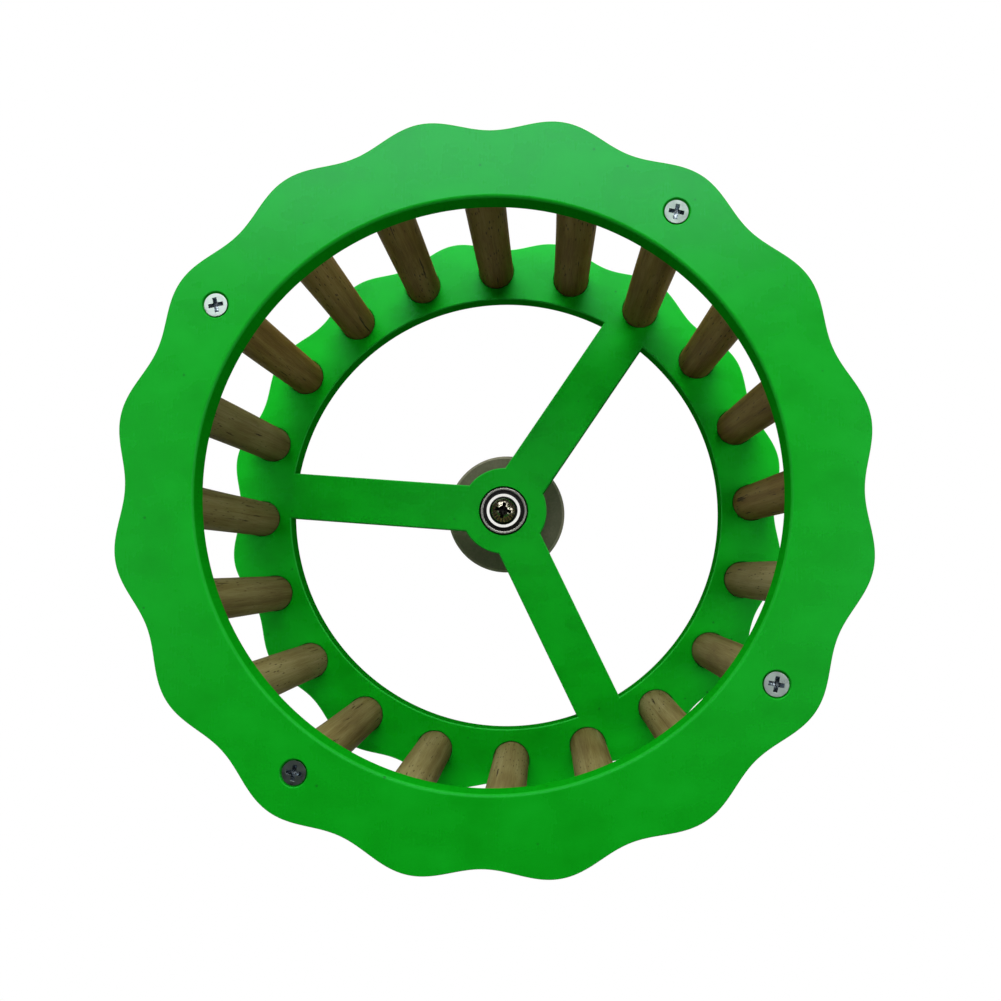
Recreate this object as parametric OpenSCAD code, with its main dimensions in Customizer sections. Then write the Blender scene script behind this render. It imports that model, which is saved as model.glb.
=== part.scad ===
/* [Wheel] */
// Diameter over the crests of the wavy edge
wheel_d = 255; // [230:1:300]
// Width over both plates
wheel_w = 127; // [90:1:160]
// Thickness of the plastic sheet that both plates are cut from
sheet_t = 9.5; // [9:0.1:13]
// Radial width of the rim, from the big hole to a crest
rim_w = 28.5; // [27.5:0.5:38]
// Depth of the wave, from crest to valley
wave_depth = 4.8; // [1:0.1:5.5]
// Number of crests around the edge
wave_count = 16; // [8:1:24]
// Angle of the first crest, spoke and dowel above the horizontal, seen from the front
turn = 56; // [0:1:120]
// Chamfer on the cut edges of the round holes
edge_break = 0.6; // [0.2:0.1:1]

/* [Hub and spokes] */
// Diameter of the boss in the middle of the rear plate
hub_d = 39.4; // [32:0.2:50]
// Width of one spoke
spoke_w = 21; // [14:0.5:28]
// Number of spokes
spoke_count = 3; // [3:1:5]

/* [Dowels] */
// Number of dowels that the bird runs on
dowel_count = 20; // [15:1:22]
// Diameter of a dowel
dowel_d = 15.9; // [13:0.1:16.5]
// Plastic between the big hole and a dowel's pocket
dowel_inset = 5.6; // [4:0.1:6.4]
// Depth of the blind pocket that holds a dowel's end
pocket_depth = 5; // [3:0.1:5.8]
// Room around a dowel in its pocket
dowel_fit = 0.1; // [0.05:0.05:0.3]
// Chamfer on a dowel's ends
dowel_chamfer = 0.8; // [0.3:0.1:1.5]
// A screw holds every dowel that this step reaches
screw_step = 5; // [4:1:10]

/* [Wood screws] */
// Length of a wood screw over its head
screw_l = 25.4; // [18:0.1:32]
// Diameter of the screw's shank
screw_d = 4.2; // [3.4:0.1:4.8]
// Diameter of the flat head
screw_head_d = 8.2; // [7.4:0.1:9.4]
// Straight rim of the flat head
screw_rim_t = 0.3; // [0.2:0.1:0.5]
// How far the head sits below the plate's face
screw_sink = 0.3; // [0.1:0.1:0.5]
// Length of the screw's point
screw_point_l = 6; // [4:0.5:9]
// Width across the cross recess
screw_recess_d = 4.8; // [3.6:0.1:5.4]
// Thickness of one blade of the cross recess
screw_recess_w = 0.9; // [0.6:0.1:1.3]
// Depth of the cross recess
screw_recess_depth = 1.9; // [1.2:0.1:2.2]

/* [Bearing] */
// Outside diameter of the ball bearing
bearing_d = 22; // [21:0.5:26]
// Width of the ball bearing
bearing_w = 7; // [6.4:0.1:8]
// Diameter of the circle through the balls
ball_circle_d = 15; // [14.4:0.1:15.8]
// Diameter of a ball
ball_d = 3.97; // [3.6:0.01:4.2]
// Number of balls
ball_count = 7; // [6:1:8]
// Radial gap between the two races
race_gap = 2.9; // [2.7:0.1:3.1]
// Room between a ball and its groove
ball_fit = 0.06; // [0.03:0.01:0.09]
// Chamfer on the corners of the races
race_chamfer = 0.4; // [0.2:0.1:0.5]
// Thickness of a rubber seal
seal_t = 0.7; // [0.5:0.05:0.8]
// How far a seal lies below the faces of the races
seal_sink = 0.3; // [0.2:0.05:0.4]
// How far a seal reaches into the outer race
seal_lip_w = 0.6; // [0.4:0.1:0.8]
// Depth of the ring groove in a seal's face
seal_groove_depth = 0.2; // [0.1:0.05:0.25]
// Radial thickness of the ball cage
cage_w = 1.3; // [1:0.1:1.5]
// Lip of the plate that stops the bearing at the back
seat_lip_w = 1.8; // [1:0.1:2.4]
// How far the bearing sits below the plate's face
seat_sink = 0.3; // [0.1:0.1:0.6]

/* [Axle] */
// Diameter of the axle screw
axle_d = 6.35; // [5:0.05:8]
// Length of the axle screw under its head
axle_l = 63.5; // [58:0.5:76]
// Diameter of the domed head
axle_head_d = 12.5; // [11:0.1:14]
// Height of the domed head
axle_head_h = 4.4; // [4:0.1:5.4]
// Height of the straight side below the dome
axle_head_side_h = 0.8; // [0.3:0.1:1.2]
// Width across the cross recess in the head
axle_recess_d = 8.2; // [6:0.1:9]
// Thickness of one blade of the cross recess
axle_recess_w = 1.5; // [1:0.1:2]
// Depth of the cross recess
axle_recess_depth = 3.1; // [2:0.1:3.3]
// Angle of the cross recess, clockwise seen from the front
axle_recess_turn = 12; // [0:1:90]
// Chamfer on the end of the thread
axle_chamfer = 0.8; // [0.4:0.1:1.2]
// Room around the axle screw in what it passes through
axle_fit = 0.05; // [0.02:0.01:0.1]
// Diameter of the washer under the head
head_washer_d = 15.9; // [14.4:0.1:17]
// Thickness of the washer under the head
head_washer_t = 1.6; // [1:0.1:2]
// Room between the axle screw and a loose washer
washer_fit = 0.35; // [0.15:0.05:0.5]
// Length of the tube between the bearing and the mount disc
spacer_l = 19; // [12:0.5:20]
// Outside diameter of the tube
spacer_d = 9.5; // [9:0.1:11.5]

/* [Mount] */
// Diameter of the wooden disc that bears on the cage
disc_d = 57; // [42:1:70]
// Thickness of the wooden disc
disc_t = 9.5; // [6:0.5:10]
// Chamfer around the disc
disc_chamfer = 1.2; // [0.5:0.1:2.5]
// Gap for the cage bars, as the clamp stands in the photograph's pose
clamp_gap = 6; // [5:0.5:8]
// Diameter of the wide washer behind the bars
clamp_washer_d = 38; // [26:1:44]
// Thickness of the wide washer
clamp_washer_t = 1.6; // [1:0.1:2.2]
// Outside diameter of the split washer
lock_washer_d = 12.4; // [11:0.1:13]
// Thickness of the split washer
lock_washer_t = 1.6; // [1.2:0.1:2]
// Width of the split
lock_split_w = 1; // [0.6:0.1:1.6]
// Slant of the split
lock_slant = 25; // [0:1:35]
// Diameter of the wing nut's body
nut_d = 13; // [12:0.1:15]
// Height of the wing nut's body
nut_h = 6; // [5:0.1:7]
// How much the body narrows towards its top, on each side
nut_taper = 1.2; // [0.4:0.1:1.6]
// Room between the nut and the axle screw
nut_fit = 0.08; // [0.03:0.01:0.1]
// Width over both wings
wing_span = 28.6; // [26:0.2:34]
// Height of the wings above the nut's foot
wing_h = 14; // [12.5:0.1:16]
// Radius of a wing's round end
wing_round = 4.6; // [4:0.1:5.4]
// Thickness of a wing
wing_t = 2.4; // [1.6:0.1:3]
// Height at which a wing leaves the body
wing_foot_h = 1; // [0.6:0.1:1.6]

/* [Hidden] */
$fn = 96;
rim_fn = 180;
outline_steps = 24;
cut_over = 1;
hidden_fit = 0.02;
head_angle = 41;
// Angles of the wood screws' cross recesses, each from the line out through its screw
front_recess_turns = [22, 46, 25, 23];
rear_recess_turns = [70, 12, 38, 55];

// Shares of the sizes that they follow
recess_tip_share = 0.5;
recess_core_share = 0.42;
screw_tip_share = 0.12;
ball_groove_share = 0.02;
cage_grip_share = 0.33;
seal_edge_share = 0.2;
seal_slope_share = 0.05;
wing_root_share = 0.72;
wing_slope_share = 0.55;

crest_r = wheel_d / 2;
hole_r = crest_r - rim_w;
dowel_r = dowel_d / 2;
dowel_circle_r = hole_r + dowel_inset + dowel_r;
pocket_r = dowel_r + dowel_fit;
floor_t = sheet_t - pocket_depth;
screws_at = [0 : screw_step : dowel_count - 1];
screw_r = screw_d / 2;
screw_head_r = screw_head_d / 2;
screw_cone_h = (screw_head_r - screw_r) / tan(head_angle);

axle_r = axle_d / 2;
axle_bore_r = axle_r + axle_fit;
ball_r = ball_d / 2;
ball_circle_r = ball_circle_d / 2;
groove_r = ball_r * (1 + ball_groove_share) + ball_fit;
inner_land_r = ball_circle_r - race_gap / 2;
outer_land_r = ball_circle_r + race_gap / 2;
seal_seat_r = outer_land_r + seal_lip_w;
seal_depth = seal_sink + seal_t;
seat_r = bearing_d / 2 + hidden_fit;

// Stations along the axle. Zero is the back of the mount disc and the front is towards -Y.
disc_front_y = -disc_t;
race_back_y = disc_front_y - spacer_l;
race_front_y = race_back_y - bearing_w;
head_seat_y = race_front_y - head_washer_t;
rear_plate_front_y = race_front_y - seat_sink;
rear_plate_back_y = rear_plate_front_y + sheet_t;
front_ring_front_y = rear_plate_back_y - wheel_w;
front_ring_back_y = front_ring_front_y + sheet_t;
clamp_front_y = clamp_gap;
lock_front_y = clamp_front_y + clamp_washer_t;
nut_front_y = lock_front_y + lock_washer_t;

function two_digits(n) = n < 10 ? str("0", n) : str(n);
function dowel_name(n) = str("dowel_", two_digits(n));
dowel_names = [for (n = [1 : dowel_count]) dowel_name(n)];

// Radius of the wavy edge at an angle from a crest
function wave_r(a) = crest_r - wave_depth * (1 - cos(wave_count * a)) / 2;
wave_steps = wave_count * outline_steps;
function wave_angle(k) = 360 * k / wave_steps;
wave_points = [
    for (k = [0 : wave_steps - 1])
        wave_r(wave_angle(k)) * [cos(wave_angle(k)), sin(wave_angle(k))]
];

// Puts a piece drawn along +Z on the axle, with its foot at y and its top towards the back
module on_axle(y) {
    translate([0, y, 0])
        rotate([-90, 0, 0])
            children();
}

// Puts a piece drawn in front view on the wheel, with its foot at y and its top towards the front
module on_wheel(y) {
    translate([0, y, 0])
        rotate([90, 0, 0])
            rotate(turn)
                children();
}

// Repeats a piece at each dowel that a screw holds, turned by the angles in turns
module at_screws(turns = [0]) {
    for (k = screws_at)
        rotate(k * 360 / dowel_count)
            translate([dowel_circle_r, 0, 0])
                rotate(turns[k / screw_step % len(turns)])
                    children();
}

module tube(outer_r, inner_r, h) {
    difference() {
        cylinder(r = outer_r, h = h);
        translate([0, 0, -cut_over])
            cylinder(r = inner_r, h = h + 2 * cut_over);
    }
}

// Flared mouth of a round hole of radius r, in a face at height z that looks up
module mouth(r, z) {
    translate([0, 0, z - edge_break])
        cylinder(r1 = r, r2 = r + edge_break + cut_over, h = edge_break + cut_over);
}

// Flared pocket cut down from z = 0
module flare(r, depth) {
    rotate_extrude()
        polygon([
            [0, -depth],
            [recess_tip_share * r, -depth],
            [r, 0],
            [r, cut_over],
            [0, cut_over]
        ]);
}

// Cross recess cut down from z = 0: two flared blades with a wider core where they meet
module cross_recess(d, w, depth) {
    intersection() {
        flare(d / 2, depth);
        translate([0, 0, -depth])
            linear_extrude(depth + cut_over)
                union() {
                    square([2 * d, w], center = true);
                    square([w, 2 * d], center = true);
                }
    }
    flare(recess_core_share * d / 2, depth);
}

module plate_blank() {
    linear_extrude(sheet_t)
        polygon(wave_points);
}

// Blind pockets that open at z = 0
module pockets() {
    for (k = [0 : dowel_count - 1])
        rotate(k * 360 / dowel_count)
            translate([dowel_circle_r, 0, -cut_over])
                cylinder(r = pocket_r, h = pocket_depth + cut_over);
}

// Hole and countersink for a wood screw, from the floor of a pocket up to the face at sheet_t
module screw_hole() {
    sink_r = screw_head_r + dowel_fit;
    rim_z = sheet_t - screw_sink - screw_rim_t;
    cylinder(r = screw_r + dowel_fit, h = sheet_t + cut_over);
    translate([0, 0, rim_z - screw_cone_h])
        cylinder(r1 = screw_r + dowel_fit, r2 = sink_r, h = screw_cone_h);
    translate([0, 0, rim_z])
        cylinder(r = sink_r, h = sheet_t - rim_z + cut_over);
}

// Flat-head wood screw with the top of its head at z = 0 and its point down
module wood_screw() {
    rim_z = -screw_rim_t;
    difference() {
        rotate_extrude()
            polygon([
                [0, 0],
                [screw_head_r, 0],
                [screw_head_r, rim_z],
                [screw_r, rim_z - screw_cone_h],
                [screw_r, screw_point_l - screw_l],
                [screw_tip_share * screw_r, -screw_l],
                [0, -screw_l]
            ]);
        cross_recess(screw_recess_d, screw_recess_w, screw_recess_depth);
    }
}

module wood_screws(turns) {
    at_screws(turns)
        translate([0, 0, sheet_t - screw_sink])
            wood_screw();
}

module front_ring() {
    color("#2fae4c")
        on_wheel(front_ring_back_y)
            difference() {
                plate_blank();
                translate([0, 0, -cut_over])
                    cylinder(r = hole_r, h = sheet_t + 2 * cut_over, $fn = rim_fn);
                mouth(hole_r, sheet_t);
                pockets();
                at_screws()
                    screw_hole();
            }
}

// The rear plate is the front ring turned over, with spokes and a hub that carries the bearing
module rear_plate() {
    color("#2fae4c")
        on_wheel(rear_plate_front_y)
            mirror([0, 0, 1])
                difference() {
                    union() {
                        difference() {
                            plate_blank();
                            translate([0, 0, -cut_over])
                                cylinder(r = hole_r, h = sheet_t + 2 * cut_over, $fn = rim_fn);
                        }
                        spokes();
                        cylinder(d = hub_d, h = sheet_t);
                    }
                    bearing_seat();
                    pockets();
                    at_screws()
                        screw_hole();
                }
}

module spokes() {
    for (k = [0 : spoke_count - 1])
        rotate(k * 360 / spoke_count)
            translate([0, -spoke_w / 2, 0])
                cube([hole_r + edge_break, spoke_w, sheet_t]);
}

// Stepped seat that opens at z = 0, with a lip at its far end
module bearing_seat() {
    seat_depth = seat_sink + bearing_w;
    translate([0, 0, -cut_over])
        cylinder(r = seat_r, h = seat_depth + cut_over);
    cylinder(r = seat_r - seat_lip_w, h = sheet_t + cut_over);
    mirror([0, 0, 1])
        mouth(seat_r, 0);
}

module dowel(n) {
    length = wheel_w - 2 * floor_t - 2 * dowel_fit;
    screwed = (n - 1) % screw_step == 0;
    hole_depth = screw_sink + screw_l - floor_t;
    color("#b08a5a")
        on_wheel(rear_plate_back_y - floor_t - dowel_fit)
            rotate((n - 1) * 360 / dowel_count)
                translate([dowel_circle_r, 0, 0])
                    difference() {
                        rotate_extrude()
                            polygon([
                                [0, 0],
                                [dowel_r - dowel_chamfer, 0],
                                [dowel_r, dowel_chamfer],
                                [dowel_r, length - dowel_chamfer],
                                [dowel_r - dowel_chamfer, length],
                                [0, length]
                            ]);
                        if (screwed) {
                            translate([0, 0, -cut_over])
                                cylinder(r = screw_r + dowel_fit, h = hole_depth + cut_over);
                            translate([0, 0, length - hole_depth])
                                cylinder(r = screw_r + dowel_fit, h = hole_depth + cut_over);
                        }
                    }
}

module front_screws() {
    color("#c9ccc9")
        on_wheel(front_ring_back_y)
            wood_screws(front_recess_turns);
}

module rear_screws() {
    color("#c9ccc9")
        on_wheel(rear_plate_front_y)
            mirror([0, 0, 1])
                wood_screws(rear_recess_turns);
}

// Solid ring between two radii with chamfered corners, standing on z = 0
module race_blank(inner_r, outer_r, inner_chamfer, outer_chamfer) {
    rotate_extrude()
        polygon([
            [inner_r + inner_chamfer, 0],
            [outer_r - outer_chamfer, 0],
            [outer_r, outer_chamfer],
            [outer_r, bearing_w - outer_chamfer],
            [outer_r - outer_chamfer, bearing_w],
            [inner_r + inner_chamfer, bearing_w],
            [inner_r, bearing_w - inner_chamfer],
            [inner_r, inner_chamfer]
        ]);
}

module ball_groove() {
    translate([0, 0, bearing_w / 2])
        rotate_extrude()
            translate([ball_circle_r, 0])
                circle(r = groove_r);
}

module bearing_outer_race() {
    color("#d4d4d0")
        on_axle(race_front_y)
            difference() {
                race_blank(outer_land_r, bearing_d / 2, 0, race_chamfer);
                ball_groove();
                translate([0, 0, -cut_over])
                    cylinder(r = seal_seat_r, h = seal_depth + cut_over);
                translate([0, 0, bearing_w - seal_depth])
                    cylinder(r = seal_seat_r, h = seal_depth + cut_over);
            }
}

module bearing_inner_race() {
    color("#d4d4d0")
        on_axle(race_front_y)
            difference() {
                race_blank(axle_bore_r, inner_land_r, race_chamfer, 0);
                ball_groove();
            }
}

module bearing_balls() {
    color("#e6e6e6")
        on_axle(race_front_y + bearing_w / 2)
            for (k = [0 : ball_count - 1])
                rotate(k * 360 / ball_count)
                    translate([ball_circle_r, 0, 0])
                        sphere(r = ball_r);
}

// Crown cage: a ring on the front side whose pockets close a little past the balls' centres
module bearing_cage() {
    back_z = bearing_w / 2 + cage_grip_share * ball_r;
    front_z = seal_depth + ball_fit;
    color("#8d9095")
        on_axle(race_front_y)
            difference() {
                translate([0, 0, front_z])
                    tube(ball_circle_r + cage_w / 2, ball_circle_r - cage_w / 2, back_z - front_z);
                for (k = [0 : ball_count - 1])
                    rotate(k * 360 / ball_count)
                        translate([ball_circle_r, 0, bearing_w / 2])
                            sphere(r = ball_r + ball_fit);
            }
}

// Rubber seal standing on z = 0, with a shallow ring groove in its top face
module seal() {
    inner_r = inner_land_r + ball_fit;
    outer_r = seal_seat_r - hidden_fit;
    edge_w = seal_edge_share * (outer_r - inner_r);
    floor_w = edge_w + seal_slope_share * (outer_r - inner_r);
    rotate_extrude()
        polygon([
            [inner_r, 0],
            [outer_r, 0],
            [outer_r, seal_t],
            [outer_r - edge_w, seal_t],
            [outer_r - floor_w, seal_t - seal_groove_depth],
            [inner_r + floor_w, seal_t - seal_groove_depth],
            [inner_r + edge_w, seal_t],
            [inner_r, seal_t]
        ]);
}

module bearing_front_seal() {
    color("#161616")
        on_axle(race_front_y + seal_depth)
            mirror([0, 0, 1])
                seal();
}

module bearing_rear_seal() {
    color("#161616")
        on_axle(race_back_y - seal_depth)
            seal();
}

// Axle screw with a domed head. Its head sits on the front washer and its thread ends behind the nut.
module axle_screw() {
    color("#c2c2bc")
        on_axle(head_seat_y)
            difference() {
                union() {
                    mirror([0, 0, 1])
                        axle_head();
                    rotate_extrude()
                        polygon([
                            [0, -axle_head_side_h],
                            [axle_r, -axle_head_side_h],
                            [axle_r, axle_l - axle_chamfer],
                            [axle_r - axle_chamfer, axle_l],
                            [0, axle_l]
                        ]);
                }
                mirror([0, 0, 1])
                    translate([0, 0, axle_head_h])
                        rotate(axle_recess_turn)
                            cross_recess(axle_recess_d, axle_recess_w, axle_recess_depth);
            }
}

// Round head standing on z = 0: the cap of a ball over a short straight side
module axle_head() {
    head_r = axle_head_d / 2;
    dome_h = axle_head_h - axle_head_side_h;
    dome_r = (head_r ^ 2 + dome_h ^ 2) / (2 * dome_h);
    intersection() {
        cylinder(r = head_r, h = axle_head_h + cut_over);
        translate([0, 0, axle_head_h - dome_r])
            sphere(r = dome_r);
    }
}

module head_washer() {
    color("#dadad6")
        on_axle(head_seat_y)
            tube(head_washer_d / 2, axle_r + washer_fit, head_washer_t);
}

module axle_spacer() {
    color("#c8c8c4")
        on_axle(race_back_y)
            tube(spacer_d / 2, axle_bore_r, spacer_l);
}

module mount_disc() {
    disc_r = disc_d / 2;
    color("#8a7a5c")
        on_axle(disc_front_y)
            difference() {
                rotate_extrude()
                    polygon([
                        [0, 0],
                        [disc_r - disc_chamfer, 0],
                        [disc_r, disc_chamfer],
                        [disc_r, disc_t - disc_chamfer],
                        [disc_r - disc_chamfer, disc_t],
                        [0, disc_t]
                    ]);
                translate([0, 0, -cut_over])
                    cylinder(r = axle_bore_r, h = disc_t + 2 * cut_over);
            }
}

module clamp_washer() {
    color("#c6c8c8")
        on_axle(clamp_front_y)
            tube(clamp_washer_d / 2, axle_r + nut_fit, clamp_washer_t);
}

module lock_washer() {
    cut_l = lock_washer_d;
    color("#9a9c9c")
        on_axle(lock_front_y)
            difference() {
                tube(lock_washer_d / 2, axle_r + nut_fit, lock_washer_t);
                translate([0, 0, lock_washer_t / 2])
                    rotate([lock_slant, 0, 0])
                        translate([0, -lock_split_w / 2, -cut_l / 2])
                            cube([cut_l, lock_split_w, cut_l]);
            }
}

// Outline of one wing in its own plane, from the nut's body out to the round end
module wing_outline() {
    root_x = wing_root_share * nut_d / 2;
    end_x = wing_span / 2 - wing_round;
    end_y = wing_h - wing_round;
    union() {
        translate([end_x, end_y])
            circle(r = wing_round);
        polygon([
            [root_x, wing_foot_h],
            [end_x + wing_round * wing_slope_share, end_y - wing_round * wing_slope_share],
            [end_x - wing_round * wing_slope_share, end_y + wing_round * wing_slope_share],
            [root_x, nut_h - wing_foot_h]
        ]);
    }
}

module wing_nut() {
    foot_r = nut_d / 2;
    color("#d2d3cf")
        on_axle(nut_front_y)
            difference() {
                union() {
                    cylinder(r1 = foot_r, r2 = foot_r - nut_taper, h = nut_h);
                    for (side = [0, 1])
                        rotate([90, 0, side * 180])
                            translate([0, 0, -wing_t / 2])
                                linear_extrude(wing_t)
                                    wing_outline();
                }
                translate([0, 0, -cut_over])
                    cylinder(r = axle_r + nut_fit, h = nut_h + 2 * cut_over);
            }
}

front_ring();
rear_plate();
for (n = [1 : dowel_count])
    dowel(n);
front_screws();
rear_screws();
bearing_outer_race();
bearing_inner_race();
bearing_balls();
bearing_cage();
bearing_front_seal();
bearing_rear_seal();
axle_screw();
head_washer();
axle_spacer();
mount_disc();
clamp_washer();
lock_washer();
wing_nut();
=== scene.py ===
import math
import bpy
from mathutils import Matrix, Vector


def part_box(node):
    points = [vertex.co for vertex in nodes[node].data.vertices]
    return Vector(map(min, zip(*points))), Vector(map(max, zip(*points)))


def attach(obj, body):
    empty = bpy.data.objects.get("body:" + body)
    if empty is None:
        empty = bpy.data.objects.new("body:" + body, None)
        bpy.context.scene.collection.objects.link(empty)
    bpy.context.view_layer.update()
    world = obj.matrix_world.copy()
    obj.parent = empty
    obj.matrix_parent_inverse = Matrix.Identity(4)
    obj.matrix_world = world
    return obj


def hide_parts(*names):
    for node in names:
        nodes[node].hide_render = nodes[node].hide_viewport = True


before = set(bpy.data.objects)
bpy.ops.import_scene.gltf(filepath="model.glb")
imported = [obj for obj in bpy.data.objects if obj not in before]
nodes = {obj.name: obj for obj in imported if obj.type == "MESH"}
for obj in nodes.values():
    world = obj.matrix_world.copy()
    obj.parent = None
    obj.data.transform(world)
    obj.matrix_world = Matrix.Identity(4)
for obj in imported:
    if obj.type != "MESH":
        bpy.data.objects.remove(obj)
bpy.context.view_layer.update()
mm = 0.001
bpy.context.scene.view_settings.view_transform = "Standard"
bpy.ops.object.select_all(action="DESELECT")
print("frame loaded,", len(nodes), "nodes")


# Camera: a little right of the axle and below it, close to the open front

camera = {
    "place": (19.1 * mm, -451.4 * mm, -25.7 * mm),
    "tilt": (94.18, -0.28, 2.81),  # degrees about X, Y and Z
    "lens": 32.61,  # millimetres, on a 36 mm sensor
    "nearest": 0.01,  # metres
    "farthest": 20,
}


def placeCamera():
    data = bpy.data.cameras.new("camera")
    data.lens = camera["lens"]
    data.clip_start = camera["nearest"]
    data.clip_end = camera["farthest"]
    taker = bpy.data.objects.new("camera", data)
    taker.location = camera["place"]
    taker.rotation_euler = [math.radians(a) for a in camera["tilt"]]
    bpy.context.scene.collection.objects.link(taker)
    bpy.context.scene.camera = taker


placeCamera()
print("camera placed")


# Material helpers

def linearColour(hexCode):
    # sRGB hex to the linear colour that shaders work in
    parts = [int(hexCode[i:i + 2], 16) / 255 for i in (1, 3, 5)]
    return [p / 12.92 if p <= 0.04045 else ((p + 0.055) / 1.055) ** 2.4 for p in parts] + [1]


def newMaterial(name, **values):
    # a material with one principled shader, and its tree
    material = bpy.data.materials.new(name)
    material.use_nodes = True
    shader = material.node_tree.nodes["Principled BSDF"]
    for socket, value in values.items():
        shader.inputs[socket.replace("_", " ")].default_value = value
    return material, material.node_tree, shader


def addNode(tree, kind, values=None, links=None, **options):
    # One node with its options, its socket values and what feeds it. Sockets go by name or number:
    # a Map Range node reads from 1 to 2 and gives 3 to 4, a Mix node's share is 0,
    # and it mixes the numbers 2 and 3 or the colours 6 and 7.
    node = tree.nodes.new(kind)
    for option, value in options.items():
        setattr(node, option, value)
    for socket, value in (values or {}).items():
        node.inputs[socket].default_value = value
    for socket, (source, output) in (links or {}).items():
        tree.links.new(source.outputs[output], node.inputs[socket])
    return node


def setStops(ramp, stops):
    # positions and hex colours of a colour ramp
    elements = ramp.color_ramp.elements
    while len(elements) < len(stops):
        elements.new(0.5)
    for element, (position, hexCode) in zip(elements, stops):
        element.position = position
        element.color = linearColour(hexCode)


def stretched(tree, size):
    # object coordinates divided by the size of one blotch of the pattern, in millimetres along X, Y and Z
    where = addNode(tree, "ShaderNodeTexCoord")
    scale = [1 / (s * mm) for s in size]
    return addNode(tree, "ShaderNodeMapping", {"Scale": scale}, {"Vector": (where, "Object")})


# Green sheet: polyethylene cutting-board sheet, planed and lightly brushed,
# so it is satin with faint upright streaks

greenSheet = {
    "bluishLightTint": "#b4dcff",  # its gloss is tinted a little blue: painted colour of the bluish light that it mirrors
    "stops": (0.28, 0.5, 0.74),  # where the deep, plain and pale tones lie
    "mottle": (16, 16, 11),  # mm
    "grain": (0.3, 0.3, 0.3),  # mm
    "speck": (9, 9, 9),  # mm: distance between specks
    "speckTone": "#0a3d0c",
    "speckEdge": {1: 0.035, 2: 0.07, 3: 0.5, 4: 0},  # of that distance
    "grainShare": 0.45,
    "relief": 0.04 * mm,
    "polish": (-0.03, 0.04),  # how the roughness varies
}
# Each surface's streak is the width, depth and length of a tool mark in millimetres, and contrast is
# its share in the tone. Real brush marks are too fine to show, so they are drawn as wide as needed.
brushed = {"roughness": 0.27, "streak": (0.7, 3, 26), "contrast": 0.13, "bump": 0.05}
routed = {"gloss": 0, "streak": (0.6, 14, 0.6), "contrast": 0.6, "bump": 0.8}
scraped = {"roughness": 0.5, "gloss": 0.14, "streak": (0.8, 0.8, 6), "contrast": 0.6, "bump": 0.3}


def makeGreenSheet(name, tones, roughness, gloss, streak, contrast, bump):
    material, tree, shader = newMaterial(name, IOR=1.54, Specular_IOR_Level=gloss,
                                         Specular_Tint=linearColour(greenSheet["bluishLightTint"]))
    streaks = addNode(tree, "ShaderNodeTexNoise", {"Scale": 1, "Detail": 3, "Roughness": 0.6},
                      {"Vector": (stretched(tree, streak), 0)})
    mottle = addNode(tree, "ShaderNodeTexNoise", {"Scale": 1, "Detail": 3},
                     {"Vector": (stretched(tree, greenSheet["mottle"]), 0)})
    both = addNode(tree, "ShaderNodeMix", {0: contrast}, {2: (mottle, 0), 3: (streaks, 0)})
    tone = addNode(tree, "ShaderNodeValToRGB", {}, {0: (both, 0)})
    setStops(tone, list(zip(greenSheet["stops"], tones)))
    # a few dark specks, mostly fibres and dust pressed into the skin
    specks = addNode(tree, "ShaderNodeTexVoronoi", {"Scale": 1},
                     {"Vector": (stretched(tree, greenSheet["speck"]), 0)})
    spots = addNode(tree, "ShaderNodeMapRange", greenSheet["speckEdge"], {0: (specks, 0)})
    speckled = addNode(tree, "ShaderNodeMix", {7: linearColour(greenSheet["speckTone"])},
                       {0: (spots, 0), 6: (tone, 0)}, data_type="RGBA")
    tree.links.new(speckled.outputs[2], shader.inputs["Base Color"])
    smoother, rougher = greenSheet["polish"]
    rough = addNode(tree, "ShaderNodeMapRange", {3: roughness + smoother, 4: roughness + rougher},
                    {0: (both, 0)})
    tree.links.new(rough.outputs[0], shader.inputs["Roughness"])
    grain = addNode(tree, "ShaderNodeTexNoise", {"Scale": 1, "Detail": 2},
                    {"Vector": (stretched(tree, greenSheet["grain"]), 0)})
    relief = addNode(tree, "ShaderNodeMix", {0: greenSheet["grainShare"]},
                     {2: (streaks, 0), 3: (grain, 0)})
    height = addNode(tree, "ShaderNodeBump", {"Strength": bump, "Distance": greenSheet["relief"]},
                     {"Height": (relief, 0)})
    tree.links.new(height.outputs[0], shader.inputs["Normal"])
    return material


sheetFace = makeGreenSheet("brushedPolyethyleneSheet", ("#048b0b", "#05920f", "#079814"),
                           gloss=0.3, **brushed)
# Painted light: the rear plate is painted a brighter, a little more yellow green than the front, for the
# light it gets inside the drum
rearFacePaintedLight = makeGreenSheet("polyethyleneSheetPaintedLight", ("#04990a", "#05a310", "#08ac16"),
                          gloss=0.21, **brushed)
# The router leaves fine lines across the sheet's edge, duller than its face
sheetCut = makeGreenSheet("routedPolyethyleneEdge", ("#057f0b", "#06890e", "#089213"),
                          roughness=0.7, **routed)
# Scraped corners are smoother than the edge and a little whitened
sheetCorner = makeGreenSheet("scrapedPolyethyleneCorner", ("#0a8813", "#0e8f19", "#139620"), **scraped)
# The rear plate's corners are paler still: whitened by scraping, and partly a painted highlight along its
# edges
rearCornerWhitenedAndLit = makeGreenSheet("scrapedPolyethyleneCornerPaintedHighlight", ("#16a826", "#20b230", "#2cbc3c"),
                            **scraped)
# Painted shade: round the bearing the cut is painted almost black, for the shade in the narrow gap
sheetSeatShade = makeGreenSheet("polyethyleneSeatWallPaintedShade", ("#043307", "#053a09", "#07430b"),
                           roughness=0.75, **routed)


# Dowels: round birch rod, sanded along the grain and greyed by use,
# with dark flecks and fine drying cracks

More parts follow.
